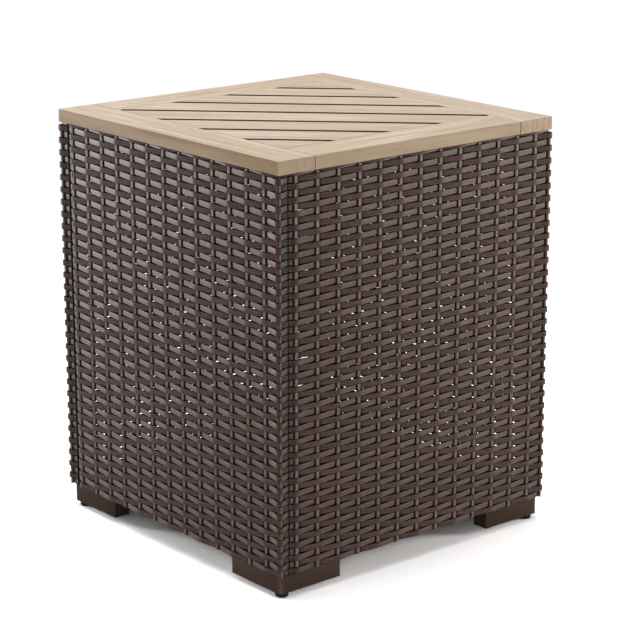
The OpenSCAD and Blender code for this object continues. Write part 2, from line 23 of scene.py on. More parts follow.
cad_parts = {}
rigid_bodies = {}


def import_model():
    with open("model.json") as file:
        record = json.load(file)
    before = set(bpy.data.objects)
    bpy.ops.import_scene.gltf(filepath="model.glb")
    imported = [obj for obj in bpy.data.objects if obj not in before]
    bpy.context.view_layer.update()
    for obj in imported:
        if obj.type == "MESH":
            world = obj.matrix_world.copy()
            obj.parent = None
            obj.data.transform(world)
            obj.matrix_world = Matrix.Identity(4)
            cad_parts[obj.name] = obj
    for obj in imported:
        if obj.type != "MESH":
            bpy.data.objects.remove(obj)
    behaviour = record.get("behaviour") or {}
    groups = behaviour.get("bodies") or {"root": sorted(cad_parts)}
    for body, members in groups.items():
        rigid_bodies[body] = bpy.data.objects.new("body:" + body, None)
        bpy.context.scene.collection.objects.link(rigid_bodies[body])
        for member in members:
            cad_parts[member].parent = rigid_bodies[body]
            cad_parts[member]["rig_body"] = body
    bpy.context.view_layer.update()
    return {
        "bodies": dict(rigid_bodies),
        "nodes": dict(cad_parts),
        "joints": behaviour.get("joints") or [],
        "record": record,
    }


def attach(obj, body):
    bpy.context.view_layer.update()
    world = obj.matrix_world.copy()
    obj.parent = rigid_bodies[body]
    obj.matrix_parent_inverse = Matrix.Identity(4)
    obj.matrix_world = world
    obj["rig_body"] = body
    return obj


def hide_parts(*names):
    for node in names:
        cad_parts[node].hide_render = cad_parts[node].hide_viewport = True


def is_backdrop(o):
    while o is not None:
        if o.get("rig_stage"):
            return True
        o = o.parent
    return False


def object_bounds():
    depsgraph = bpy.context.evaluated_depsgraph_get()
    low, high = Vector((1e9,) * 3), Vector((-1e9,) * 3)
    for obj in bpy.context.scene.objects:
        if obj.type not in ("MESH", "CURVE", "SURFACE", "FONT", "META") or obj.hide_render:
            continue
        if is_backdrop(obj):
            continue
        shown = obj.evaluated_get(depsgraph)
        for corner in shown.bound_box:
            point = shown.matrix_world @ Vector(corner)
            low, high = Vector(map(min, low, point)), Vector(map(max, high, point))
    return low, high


LOG = logging.getLogger("storage_table")
MM = 0.001
COLOUR_STEPS = 255
ROUND_PROFILE = 0.5
UP = Vector((0.0, 0.0, 1.0))
WHITE = (1.0, 1.0, 1.0)
Point = tuple[float, float]
Triple = tuple[float, float, float]
Colour = Triple
Steps = tuple[Point, ...]
Fade = tuple[float, ...]
Copy = tuple[Mesh, Vector, float]
Nodes = dict[str, Object]


def paint(red: int, green: int, blue: int) -> Colour:
    """Returns the linear colour a shader takes for a colour as it is seen, in steps of 255."""
    seen = Color((red / COLOUR_STEPS, green / COLOUR_STEPS, blue / COLOUR_STEPS))
    return tuple(seen.from_srgb_to_scene_linear())


def rising(start: float, end: float) -> Fade:
    """Returns a fade from 0 to 1 between two places in millimetres."""
    return start * MM, end * MM, 0.0, 1.0


def falling(start: float, end: float) -> Fade:
    """Returns a fade from 1 to 0 between two places in millimetres."""
    return start * MM, end * MM, 1.0, 0.0


class Grain(Enum):
    """Direction in which a board was cut, as its turn from the X axis."""

    ACROSS_FRONT = 0.0
    FRONT_TO_BACK = math.pi / 2
    DIAGONAL = math.pi / 4


class Side(Enum):
    """The four woven panels, in the order in which each follows the last round the body."""

    FRONT = 0
    RIGHT = 1
    BACK = 2
    LEFT = 3

    @property
    def label(self) -> str:
        """Returns the side's name as the CAD nodes use it."""
        return self.name.lower()


@dataclass(frozen=True)
class Pattern:
    """Soft noise about a half, with so many lumps to the metre on each axis."""

    lumps: Triple
    detail: float = 2.0
    rough: float = 0.5


class NodeTree:
    """Nodes of a material or a world under construction, with short names for the ones in use.

    The Mix node has sockets of the same names for each kind of data, so its colours go by their numbers.
    """

    MIX_SHARE: ClassVar[int] = 0
    MIX_FIRST: ClassVar[int] = 6
    MIX_SECOND: ClassVar[int] = 7
    MIX_RESULT: ClassVar[int] = 2

    def __init__(self, owner: Material | World) -> None:
        """Empties the tree of a material or a world.

        Args:
            owner: The material or the world.
        """
        owner.use_nodes = True
        self.tree = owner.node_tree
        self.tree.nodes.clear()

    def node(self, kind: str, inputs: dict[str | int, object] | None = None, **settings: object
             ) -> Node:
        """Returns a new node.

        Args:
            kind: Blender's name for the node type, without the ShaderNode in front.
            inputs: What feeds its sockets, by their names or numbers.
            **settings: Attributes set on the node.
        """
        made = self.tree.nodes.new(f"ShaderNode{kind}")
        for key, value in settings.items():
            setattr(made, key, value)
        for key, value in (inputs or {}).items():
            self.feed(made.inputs[key], value)
        return made

    def feed(self, socket: Socket, value: object) -> None:
        """Links a socket to another node's output, or sets its value.

        Args:
            socket: Input socket.
            value: An output socket, a number, a colour or a vector.
        """
        if isinstance(value, Socket):
            self.tree.links.new(value, socket)
        elif socket.type == "RGBA":
            socket.default_value = (*value, 1.0)
        else:
            socket.default_value = value

    def math(self, operation: str, first: object, second: object = 0.0) -> Socket:
        """Returns the result of one calculation on two numbers."""
        return self.node("Math", {0: first, 1: second}, operation=operation).outputs[0]

    def times(self, *factors: object) -> Socket:
        """Returns the product of some numbers."""
        product = factors[0]
        for factor in factors[1:]:
            product = self.math("MULTIPLY", product, factor)
        return product

    def off_whole(self, value: Socket) -> Socket:
        """Returns how far a number is above or below the nearest whole one."""
        return self.math("SUBTRACT", value, self.math("ROUND", value))

    def split(self, vector: Socket) -> tuple[Socket, ...]:
        """Returns the three parts of a vector."""
        return tuple(self.node("SeparateXYZ", {0: vector}).outputs)

    def fade(self, value: object, low: float, high: float, bottom: float = 0.0, top: float = 1.0) -> Socket:
        """Returns a value mapped smoothly from one range to another.

        Args:
            value: The value.
            low: Where the result starts to change.
            high: Where it stops.
            bottom: The result below low.
            top: The result above high.
        """
        inputs = {"Value": value, "From Min": low, "From Max": high, "To Min": bottom, "To Max": top}
        made = self.node("MapRange", inputs, interpolation_type="SMOOTHSTEP")
        return made.outputs["Result"]

    def within(self, value: Socket, *fades: Fade) -> Socket:
        """Returns the product of some fades of one value."""
        return self.times(*(self.fade(value, *ends) for ends in fades))

    def blend(self, share: object, first: object, second: object, mode: str = "MIX") -> Socket:
        """Returns the first colour mixed with so large a share of the second."""
        inputs = {self.MIX_SHARE: share, self.MIX_FIRST: first, self.MIX_SECOND: second}
        made = self.node("Mix", inputs, data_type="RGBA", blend_type=mode)
        return made.outputs[self.MIX_RESULT]

    def layered(self, colour: object, layers: Iterable[tuple[object, object]]) -> Socket:
        """Returns a colour with others laid over it in turn, each with its share."""
        for share, over in layers:
            colour = self.blend(share, colour, over)
        return colour

    def tinted(self, colour: object, tint: object) -> Socket:
        """Returns a colour multiplied by another, or by a number."""
        return self.blend(1.0, colour, tint, "MULTIPLY")


class Shader(NodeTree):
    """One node material under construction, with the patterns that finishes share."""

    def __init__(self, name: str) -> None:
        """Starts a material with a Principled shader wired to its output.

        Args:
            name: Name of the material.
        """
        self.material = bpy.data.materials.new(name)
        super().__init__(self.material)
        self.surface = self.node("BsdfPrincipled")
        self.node("OutputMaterial", {"Surface": self.surface.outputs["BSDF"]})

    def placed(self, turn: float = 0.0, shift: Sequence[float] = (0.0, 0.0, 0.0),
               scale: Sequence[float] = (1.0, 1.0, 1.0), source: Socket | None = None) -> Socket:
        """Returns coordinates for a pattern.

        Args:
            turn: Turn about the upright axis, in radians.
            shift: Move of the pattern, in metres.
            scale: Stretch of the coordinates.
            source: Coordinates to start from, or the piece's own where it is None.
        """
        if source is None:
            source = self.node("TexCoord").outputs["Object"]
        inputs = {"Vector": source, "Rotation": (0.0, 0.0, -turn), "Location": shift}
        spot = self.node("Mapping", inputs).outputs["Vector"]
        return self.node("VectorMath", {0: spot, 1: scale}, operation="MULTIPLY").outputs["Vector"]

    def noise(self, pattern: Pattern, source: Socket | None = None, turn: float = 0.0,
              shift: Sequence[float] = (0.0, 0.0, 0.0)) -> Socket:
        """Returns a pattern's level, placed as the method above places it."""
        inputs = {"Vector": self.placed(turn, shift, pattern.lumps, source), "Scale": 1.0,
                  "Detail": pattern.detail, "Roughness": pattern.rough}
        return self.node("TexNoise", inputs).outputs["Fac"]

    def reaches(self) -> tuple[Socket, Socket]:
        """Returns how far a place is from the table's middle along X and Y, the lesser first."""
        x, y, _ = self.split(self.placed())
        out = [self.math("ABSOLUTE", axis) for axis in (x, y)]
        return self.math("MINIMUM", *out), self.math("MAXIMUM", *out)

    def relief(self, height: Socket, depth: float, strength: float) -> None:
        """Raises the surface by a pattern.

        Args:
            height: The pattern, 0 to 1.
            depth: Height that 1 stands for, in metres.
            strength: Share of the effect.
        """
        made = self.node("Bump", {"Strength": strength, "Distance": depth, "Height": height})
        self.feed(self.surface.inputs["Normal"], made.outputs["Normal"])

    def finish(self, colour: object, roughness: object, **others: object) -> Material:
        """Returns the finished material.

        Args:
            colour: Base colour.
            roughness: Roughness.
            **others: What feeds its shader's other sockets, with underscores for the spaces in their names.
        """
        for key, value in {"Base_Color": colour, "Roughness": roughness, **others}.items():
            self.feed(self.surface.inputs[key.replace("_", " ")], value)
        return self.material


class StripShader(Shader):
    """A material that knows a strip's own map and tone, and how far from the table's middle a place is."""

    def __init__(self, name: str) -> None:
        """Starts the material.

        Args:
            name: Name of the material.
        """
        super().__init__(name)
        self.strip = self.node("UVMap", uv_map="strip").outputs["UV"]
        self.tone = self.node("Attribute", attribute_name="tone").outputs["Fac"]
        self.near, self.far = self.reaches()
        _, across, _ = self.split(self.strip)
        self.across = self.off_whole(across)


@dataclass(frozen=True)
class WovenResin:
    """Extruded resin strip: brown and grey-brown, with fine grooves along it that stretch its sheen across.

    A strip's tone is 0 to 1 for a row, 2 to 3 for a stake and over 4 for a corner stake. Fades in millimetres
    run over the reach from the table's middle or, for the edge and the leg, over the place across the strip.
    """

    name: str = "woven_resin"
    body: Colour = paint(96, 77, 71)
    red: Colour = paint(108, 76, 69)
    warm: Colour = paint(104, 83, 61)
    grey: Colour = paint(90, 83, 80)
    # painted highlight: the stakes are coloured lighter than the rows for the sheen their outward faces catch
    stake: Colour = paint(128, 115, 109)
    fold: Colour = paint(96, 78, 61)
    shaded: Colour = paint(79, 80, 80)
    lit: Colour = paint(128, 109, 102)
    sheen: Colour = (1.0, 0.91, 0.86)
    grooves: Pattern = Pattern((14.0, 1500.0, 1.0), rough=0.6)
    flecks: Pattern = Pattern((90.0, 420.0, 1.0), rough=0.6)
    patches: Pattern = Pattern((15.0, 9.0, 5.0), detail=1.0)
    cold: Pattern = Pattern((11.0, 14.0, 6.0), detail=1.0)
    patch_shift: Triple = (7.0, 0.0, 0.0)
    cold_shift: Triple = (3.0, 0.0, 0.0)
    groove_shade: Fade = (0.25, 0.75, 0.8, 1.2)
    fleck_shade: Fade = (0.3, 0.7, 0.76, 1.24)
    row_shade: Fade = (0.0, 1.0, 0.93, 1.07)
    warm_share: Fade = (0.6, 0.74, 0.0, 0.8)
    red_share: Fade = (0.28, 0.42, 0.7, 0.0)
    grey_share: Fade = (0.54, 0.76, 0.0, 0.7)
    row_tone: Fade = (1.0, 2.0, 1.0, 0.0)
    stake_tone: Fade = (1.0, 2.0)
    corner_tone: Fade = (3.0, 4.0)
    # painted shade on a row: in its dips where it passes behind a stake, and at its turns round the posts
    dip: tuple[Fade, Fade] = (rising(245.85, 245.95), falling(246.1, 246.65))
    turn: tuple[Fade, Fade] = (rising(229.0, 229.5), falling(231.7, 232.3))
    start: tuple[Fade, Fade] = (rising(220.6, 221.6), falling(227.0, 228.0))
    set_back: Fade = falling(245.85, 246.15)
    before_return: Fade = falling(229.0, 230.0)
    past_return: Fade = rising(229.0, 230.0)
    fold_share: Fade = (245.8 * MM, 248.2 * MM, 0.0, 0.8)
    # the corner stake's leg takes the stakes' painted highlight
    leg: Fade = rising(251.6, 252.6)
    # painted shade along a row's edges and in its dips
    edge_dirt: Fade = (3.182 * MM, 4.085 * MM, 0.0, 0.9)
    dip_dirt: float = 0.84
    roughness: Fade = (0.2, 0.8, 0.5, 0.41)
    relief: Point = (0.06 * MM, 0.5)
    ior: float = 1.45
    anisotropy: float = 0.8
    sheen_turn: float = 0.25
    gloss: float = 0.2

    def build(self) -> Material:
        """Returns the material."""
        shader = StripShader(self.name)
        tangent = shader.node("Tangent", direction_type="UV_MAP", uv_map="strip").outputs["Tangent"]
        grooves = shader.noise(self.grooves, shader.strip)
        flecks = shader.noise(self.flecks, shader.strip)
        shade = shader.times(shader.fade(grooves, *self.groove_shade), shader.fade(flecks, *self.fleck_shade),
                             shader.fade(shader.tone, *self.row_shade), self.shadow(shader))
        shader.relief(grooves, *self.relief)
        return shader.finish(shader.tinted(self.strip_colour(shader), shade),
                             shader.fade(grooves, *self.roughness), Tangent=tangent, IOR=self.ior,
                             Anisotropic=self.anisotropy, Anisotropic_Rotation=self.sheen_turn,
                             Specular_IOR_Level=self.gloss, Specular_Tint=self.sheen)

    def shadow(self, shader: StripShader) -> Socket:
        """Returns the share of light a row keeps under painted shade: its edges, its dips and its turns at
        the posts are darkened.
        """
        near, far = shader.near, shader.far
        # painted shade in the dips behind the stakes, at the turns round the posts and along the rows' edges
        dip = shader.times(shader.within(far, *self.dip), shader.fade(near, *self.before_return))
        turn = shader.times(shader.within(near, *self.turn), shader.fade(far, *self.set_back))
        dips = shader.times(shader.math("MAXIMUM", dip, turn), self.dip_dirt)
        edge = shader.fade(shader.math("ABSOLUTE", shader.across), *self.edge_dirt)
        dark = shader.times(shader.math("MAXIMUM", dips, edge), shader.fade(shader.tone, *self.row_tone))
        return shader.math("SUBTRACT", 1.0, dark)

    def strip_colour(self, shader: StripShader) -> Socket:
        """Returns the rows' brown with its patches and the colours of the folds, with painted light and
        shade: the stakes and the corner stake's leg painted lighter, the returns at the corners painted
        shaded and the flat runs beside the start posts painted lit.
        """
        patches = shader.noise(self.patches, shader.strip, shift=self.patch_shift)
        cold = shader.noise(self.cold, shader.strip, shift=self.cold_shift)
        deep = shader.fade(shader.far, *self.set_back)
        corner = shader.fade(shader.tone, *self.corner_tone)
        layers = (
            (shader.fade(patches, *self.warm_share), self.warm),
            (shader.fade(patches, *self.red_share), self.red),
            (shader.fade(cold, *self.grey_share), self.grey),
            # painted shade on the rows' returns at the corners, painted light on their flat runs beside the
            # start posts, and painted highlights on the stakes and the corner stake's leg
            (shader.times(deep, shader.fade(shader.near, *self.past_return)), self.shaded),
            (shader.times(deep, shader.within(shader.near, *self.start)), self.lit),
            (shader.fade(shader.tone, *self.stake_tone), self.stake),
            (shader.math("MAXIMUM", shader.fade(shader.near, *self.fold_share), corner), self.fold),
            (shader.times(corner, shader.fade(shader.across, *self.leg)), self.stake),
        )
        return shader.layered(self.body, layers)


@dataclass(frozen=True)
class PowderCoat:
    """Baked powder on aluminium tube: even, with an orange-peel skin, and a painted highlight on the rounded
    outer corners.
    """

    name: str = "powder_coat"
    body: Colour = paint(73, 57, 47)
    worn: Colour = paint(78, 62, 51)
    # painted highlight on the rounded outer corners, 236 to 243.5 mm out from the middle
    rubbed: Colour = paint(134, 110, 93)
    cloud: Pattern = Pattern((14.0,) * 3, detail=3.0)
    peel: Pattern = Pattern((900.0,) * 3)
    worn_share: Fade = (0.35, 0.75, 0.0, 0.5)
    rub: Fade = rising(236.0, 243.5)
    roughness: Fade = (0.3, 0.7, 0.45, 0.56)
    relief: Point = (0.08 * MM, 0.35)
    gloss: float = 0.12

    def build(self) -> Material:
        """Returns the material."""
        shader = Shader(self.name)
        cloud = shader.noise(self.cloud)
        near, _ = shader.reaches()
        colour = shader.blend(shader.fade(cloud, *self.worn_share), self.body, self.worn)
        # painted highlight on the rounded outer corners
        colour = shader.blend(shader.fade(near, *self.rub), colour, self.rubbed)
        shader.relief(shader.noise(self.peel), *self.relief)
        return shader.finish(colour, shader.fade(cloud, *self.roughness), Specular_IOR_Level=self.gloss)


@dataclass(frozen=True)
class MouldedPlastic:
    """Hard black plastic of the glides, scuffed where it meets the floor."""

    name: str = "glide_plastic"
    body: Colour = paint(20, 19, 19)
    scuffed: Colour = paint(40, 39, 38)
    marks: Pattern = Pattern((420.0,) * 3, detail=3.0)
    skin: Pattern = Pattern((1400.0,) * 3, detail=1.0)
    marks_share: Fade = (0.45, 0.7)
    low: Fade = falling(0.0, 2.5)
    roughness: float = 0.42
    relief: Point = (0.04 * MM, 0.3)

    def build(self) -> Material:
        """Returns the material."""
        shader = Shader(self.name)
        _, _, height = shader.split(shader.placed())
        scuffs = shader.times(shader.fade(height, *self.low),
                              shader.fade(shader.noise(self.marks), *self.marks_share))
        shader.relief(shader.noise(self.skin), *self.relief)
        return shader.finish(shader.blend(scuffs, self.body, self.scuffed), self.roughness)


@dataclass(frozen=True)
class ZincPlate:
    """Zinc-plated steel of hinges, bolts and screws, slightly dull and clouded."""

    name: str = "zinc_plate"
    body: Colour = paint(142, 141, 137)
    dull: Colour = paint(112, 112, 109)
    cloud: Pattern = Pattern((130.0,) * 3, detail=4.0, rough=0.6)
    scratches: Pattern = Pattern((60.0, 2200.0, 2200.0))
    dull_share: Fade = (0.35, 0.7)
    roughness: Fade = (0.3, 0.75, 0.5, 0.66)
    relief: Point = (0.02 * MM, 0.3)

    def build(self) -> Material:
        """Returns the material."""
        shader = Shader(self.name)
        cloud = shader.noise(self.cloud)
        colour = shader.blend(shader.fade(cloud, *self.dull_share), self.body, self.dull)
        shader.relief(shader.noise(self.scratches), *self.relief)
        return shader.finish(colour, shader.fade(cloud, *self.roughness), Metallic=1.0)


@dataclass(frozen=True)
class Timber:
    """Pale greyed timber with its grain along the board, drawn in three scales: cloud, streak and pore."""

    name: str
    grain: Grain
    offset: float
    pale: Colour = paint(234, 217, 198)
    streak: Colour = paint(201, 181, 157)
    pore: Colour = paint(170, 148, 120)
    tint: Colour = paint(212, 191, 163)
    clouds: Pattern = Pattern((2.2, 9.0, 4.5))
    streaks: Pattern = Pattern((4.5, 150.0, 75.0), detail=4.0, rough=0.6)
    pores: Pattern = Pattern((26.0, 1100.0, 550.0), rough=0.55)
    drift: Triple = (1.7, 0.9, 0.6)
    streak_share: Fade = (0.36, 0.66)
    tint_share: Fade = (0.4, 0.7, 0.0, 0.6)
    pore_share: Fade = (0.54, 0.7, 0.0, 0.6)
    streak_height: float = 0.6
    roughness: Fade = (0.3, 0.7, 0.57, 0.7)
    relief: Point = (0.12 * MM, 0.35)
    ior: float = 1.4

    def build(self) -> Material:
        """Returns the material."""
        shader = Shader(self.name)
        shift = tuple(self.offset * step for step in self.drift)
        clouds, streaks, pores = (shader.noise(pattern, turn=self.grain.value, shift=shift)
                                  for pattern in (self.clouds, self.streaks, self.pores))
        marks = shader.fade(pores, *self.pore_share)
        colour = shader.blend(shader.fade(streaks, *self.streak_share), self.pale, self.streak)
        colour = shader.blend(shader.fade(clouds, *self.tint_share), colour, self.tint)
        colour = self.stained(shader, shader.blend(marks, colour, self.pore))
        height = shader.math("SUBTRACT", shader.times(streaks, self.streak_height), marks)
        shader.relief(height, *self.relief)
        return shader.finish(colour, shader.fade(streaks, *self.roughness), IOR=self.ior)

    def stained(self, shader: Shader, colour: Socket) -> Socket:
        """Returns the colour as it is: plain timber has no painted shade."""
        return colour


@dataclass(frozen=True)
class BattenTimber(Timber):
    """Plain sawn timber of the battens, darker and rougher than the lid's."""

    pale: Colour = paint(190, 170, 145)
    streak: Colour = paint(170, 148, 122)
    pore: Colour = paint(134, 112, 88)
    tint: Colour = paint(180, 156, 130)
    roughness: Fade = (0.3, 0.7, 0.65, 0.78)


@dataclass(frozen=True)
class LidTimber(Timber):
    """Timber of the lid: its flanks carry painted shade, darker on the front and back than on the left and
    right and darkest between boards, and its underside is darkened by a factor of its own.
    """

    # painted shade of the flanks, by side, and deepest between boards
    front: Colour = (0.52, 0.41, 0.285)
    side: Colour = (0.72, 0.64, 0.53)
    gap: Colour = (0.17, 0.105, 0.055)
    under: Colour = (0.68, 0.62, 0.54)
    plain: float = 0.45
    inner: float = 247.7 * MM
    seam: float = 186.3 * MM
    seam_half: float = 0.55 * MM
    below_top: Fade = falling(599.86, 599.97)
    lowest: Fade = falling(581.52, 581.6)

    def stained(self, shader: Shader, colour: Socket) -> Socket:
        """Returns the colour with the painted shade of the flanks.

        Args:
            shader: The material under construction.
            colour: Colour of the timber's top face.
        """
        x, y, height = shader.split(shader.placed())
        across, back = (shader.math("ABSOLUTE", axis) for axis in (x, y))
        # painted shade on the flanks: the front and back darker than the left and right
        painted_flank_shade = shader.blend(shader.math("GREATER_THAN", across, back), self.front, self.side)
        # deeper painted shade on the flanks inside the lid's edge, between the boards; the joint line at the
        # seam takes the same dark colour
        inside = shader.math("LESS_THAN", shader.math("MAXIMUM", across, back), self.inner)
        away = shader.math("ABSOLUTE", shader.math("SUBTRACT", back, self.seam))
        joint = shader.math("LESS_THAN", away, self.seam_half)
        painted_flank_shade = shader.blend(shader.math("MAXIMUM", inside, joint), painted_flank_shade, self.gap)
        flank = shader.tinted(shader.blend(self.plain, colour, self.pale), painted_flank_shade)
        stained = shader.blend(shader.fade(height, *self.below_top), colour, flank)
        return shader.blend(shader.fade(height, *self.lowest), stained, shader.tinted(colour, self.under))


@dataclass(frozen=True)
class SlatTimber(LidTimber):
    """Timber of the slats: their long edges carry a brown painted shade beside the gaps."""

    pitch: float = 67.989 * MM
    # painted shade along the long edges, beside the gaps between slats
    edge: Fade = falling(4.65, 6.3)
    weathered: Colour = (0.13, 0.083, 0.045)

    def stained(self, shader: Shader, colour: Socket) -> Socket:
        """Returns the colour with the painted shade of the flanks and of the long edges.

        Args:
            shader: The material under construction.
            colour: Colour of the timber's top face.
        """
        _, across, _ = shader.split(shader.placed(self.grain.value, scale=(1.0 / self.pitch,) * 3))
        away = shader.times(shader.math("ABSOLUTE", shader.off_whole(across)), self.pitch)
        slat_edge_shaded = shader.blend(shader.fade(away, *self.edge), colour, shader.tinted(colour, self.weathered))
        return super().stained(shader, slat_edge_shaded)


@dataclass(frozen=True)
class StripSection:
    """Cross-section of an extruded strip, with a crowned face, tapered edges and a flat back.

    Its shares are of half the width and of half the thickness. The creases are the places in the outline
    where the surface breaks: both shoulders and both corners of the back.
    """

    width: float
    thickness: float
    shoulder: float = 0.87
    crown: float = 0.34
    rise: float = 0.8
    back: float = -0.9
    CREASES: ClassVar[frozenset[int]] = frozenset((0, 3, 5, 6))

    def outline(self) -> list[Point]:
        """Returns its corners in turn, each as a place across the strip and a height above its middle."""
        edge = self.shoulder
        shares = ((-edge, self.rise), (-self.crown, 1.0), (self.crown, 1.0), (edge, self.rise), (1.0, 0.0),
                  (edge, self.back), (-edge, self.back), (-1.0, 0.0))
        return [(self.width / 2 * across, self.thickness / 2 * up) for across, up in shares]


@dataclass
class StripSweep:
    """Draws a strip section along a flat path, and maps it along and across."""

    section: StripSection
    across: Vector
    LEAST_MITRE: ClassVar[float] = 0.5

    def draw(self, path: Sequence[Vector], name: str) -> Mesh:
        """Sets the section's ring at each point of the path and skins the rings, with mitred turns.

        Args:
            path: Points of the strip's middle line, in one plane square to the across direction.
            name: Name of the mesh.

        Returns:
            The mesh, with a map in metres. It is smooth along its length, and breaks at its creases and ends.
        """
        shape = bmesh.new()
        layer = shape.loops.layers.uv.new("strip")
        outline = self.section.outline()
        spots = {}
        corners = {}
        rings = []
        run = 0.0
        for index, frame in enumerate(self.frames(path)):
            run += (path[index] - path[max(index - 1, 0)]).length
            rings.append([shape.verts.new(frame @ Vector((side, height, 0.0))) for side, height in outline])
            for corner, vert in enumerate(rings[-1]):
                corners[vert] = corner
                spots[vert] = (run, outline[corner][0])
        for first, second in zip(rings, rings[1:]):
            for quad in zip(first[1:] + first[:1], first, second, second[1:] + second[:1]):
                shape.faces.new(quad)
        for ring in (rings[0], rings[-1]):
            shape.faces.new(ring)
        bmesh.ops.recalc_face_normals(shape, faces=shape.faces)
        for face in shape.faces:
            face.smooth = True
            for loop in face.loops:
                loop[layer].uv = spots[loop.vert]
        ends = {*rings[0], *rings[-1]}
        for edge in shape.edges:
            first, second = (corners[vert] for vert in edge.verts)
            creased = first == second and first in self.section.CREASES
            edge.smooth = not (creased or ends.issuperset(edge.verts))
        return finished_mesh(name, shape)

    def frames(self, path: Sequence[Vector]) -> list[Matrix]:
        """Returns the frame of the ring at each point of the path: across, outward and along."""
        frames = []
        for index, point in enumerate(path):
            before = path[index] - path[index - 1] if index else path[1] - path[0]
            after = path[index + 1] - path[index] if index + 1 < len(path) else before
            along = (before.normalized() + after.normalized()).normalized()
            mitre = 1.0 / max(along.dot(after.normalized()), self.LEAST_MITRE)
            outward = along.cross(self.across).normalized()
            matrix = Matrix.Identity(4)
            for column, axis in enumerate((self.across, outward * mitre, along, point)):
                for row in range(3):
                    matrix[row][column] = axis[row]
            frames.append(matrix)
        return frames


@dataclass(frozen=True)
class PanelSizes:
    """Sizes of one woven panel, the same as in the part's source, in millimetres."""

    half: float = 250.0
    stakes: int = 13
    stake_pitch: float = 36.3
    stake_w: float = 6.0
    stake_t: float = 1.8
    strip_t: float = 1.6
    strip_h: float = 8.6
    rows: int = 60
    row_pitch: float = 9.065
    first_row: float = 34.03
    rim_z: float = 578.1
    rim_h: float = 3.0
    wave: float = 2.156
    crest: float = 1.93
    shoulder: float = 1.76
    mid_depth: float = 2.956
    hug_depth: float = 5.113
    tube: float = 13.0
    tube_depth: float = 6.013
    tuck_depth: float = 19.913
    start_u: float = -227.787
    start_tuck: float = -221.1
    post_end: float = 243.987
    tuck: float = 10.0
    corner_leg: float = 4.6
    corner_out: float = 2.056
    rail_bottom: float = 35.0
    rail_top: float = 579.3
    weave_bottom: float = 33.8
    fit: float = 0.1

    def stake_u(self, index: int) -> float:
        """Returns the place of a stake along the panel."""
        return (index - (self.stakes - 1) / 2) * self.stake_pitch

    @staticmethod
    def side(row: int, stake: int) -> int:
        """Returns -1 where a row passes outside a stake and 1 where it passes behind it."""
        return -1 if (row + stake) % 2 == 0 else 1


@dataclass(frozen=True)
class Turns:
    """How drawn strips round their corners, in millimetres.

    The first four are corners, point by point: how far each lies along the leg that comes and the one that
    goes. The ramp is the run and the fall of a row up to the folded stake. The lean says how far a row stands
    off the post and, as shares of the tube, from where to where; the tail is a share of the tube as well.
    """

    tuck: Steps = ((0.9, 0.0), (0.0, 0.9))
    inner: Steps = ((1.1, 0.0), (0.3, 0.3), (0.0, 1.1))
    outer: Steps = ((2.9, 0.0), (1.25, 0.35), (0.35, 1.25), (0.0, 2.9))
    stake: Steps = ((1.2, 0.0), (0.35, 0.35), (0.0, 1.2))
    first_rise: float = 0.45
    ramp: Point = (3.0, 1.1)
    fold_gap: float = 0.12
    lean: float = 0.5
    lean_from: float = 0.7
    lean_to: float = 0.85
    straight: float = 1.9
    tail: float = 0.8
    fold: float = 1.6
    fold_segments: int = 4


@dataclass
class WovenPanel:
    """One side of the body: sixty strips and a rim woven round upright stakes and a folded corner stake."""

    side: Side
    resin: Material
    templates: "PanelTemplates"
    seed: int = 7
    STAKE_TONE: ClassVar[float] = 2.0
    CORNER_TONE: ClassVar[float] = 4.0
    SHIFT_ALONG: ClassVar[Point] = (0.0, 40.0)
    SHIFT_ACROSS: ClassVar[Point] = (1.0, 60.0)

    def build(self) -> list[Object]:
        """Returns the strips and the stakes of the panel, which stand for its CAD node."""
        chance = random.Random(self.seed + self.side.value)
        return [self.piece("strips", self.strips(), chance), self.piece("stakes", self.uprights(), chance)]

    def strips(self) -> list[Copy]:
        """Returns all the strips as copies of the row each follows, with their places and lowest tones."""
        s = self.templates.sizes
        heights = [s.first_row + s.row_pitch * row + s.strip_h / 2 for row in range(s.rows)]
        sources = [self.templates.rows[row % 2] for row in range(s.rows)] + [self.templates.rim]
        return [(source, Vector((0.0, 0.0, height * MM)), 0.0)
                for source, height in zip(sources, [*heights, s.rim_z + s.rim_h / 2])]

    def uprights(self) -> list[Copy]:
        """Returns the stakes and the corner stake as copies, with their places and lowest tones."""
        s = self.templates.sizes
        places = [Vector((s.stake_u(index) * MM, 0.0, 0.0)) for index in range(s.stakes)]
        return [*((self.templates.stake, place, self.STAKE_TONE) for place in places),
                (self.templates.corner, Vector(), self.CORNER_TONE)]

    def piece(self, part: str, copies: list[Copy], chance: random.Random) -> Object:
        """Returns one dressed object of many copies.

        Args:
            part: Word for the piece's name.
            copies: What to copy, drawn for the front panel with depths along Y.
            chance: Source of each copy's tone and stretch of the pattern.
        """
        shape = bmesh.new()
        tone = shape.verts.layers.float.new("tone")
        for source, place, base in copies:
            verts_before = len(shape.verts)
            faces_before = len(shape.faces)
            shape.from_mesh(source)
            shape.verts.ensure_lookup_table()
            shape.faces.ensure_lookup_table()
            verts = shape.verts[verts_before:]
            bmesh.ops.translate(shape, vec=place, verts=verts)
            level = base + chance.random()
            for vert in verts:
                vert[tone] = level
            layer = shape.loops.layers.uv["strip"]
            shift = Vector((chance.uniform(*self.SHIFT_ALONG), round(chance.uniform(*self.SHIFT_ACROSS))))
            for face in shape.faces[faces_before:]:
                for loop in face.loops:
                    loop[layer].uv += shift
        turn = Matrix.Rotation(math.pi / 2 * self.side.value, 4, "Z")
        inset = Matrix.Translation((0.0, -self.templates.sizes.half * MM, 0.0))
        bmesh.ops.transform(shape, matrix=turn @ inset, verts=shape.verts)
        made = new_object(f"{self.side.label}_weave_{part}", shape, self.resin)
        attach(made, "body")
        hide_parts(f"{self.side.label}_weave")
        return made


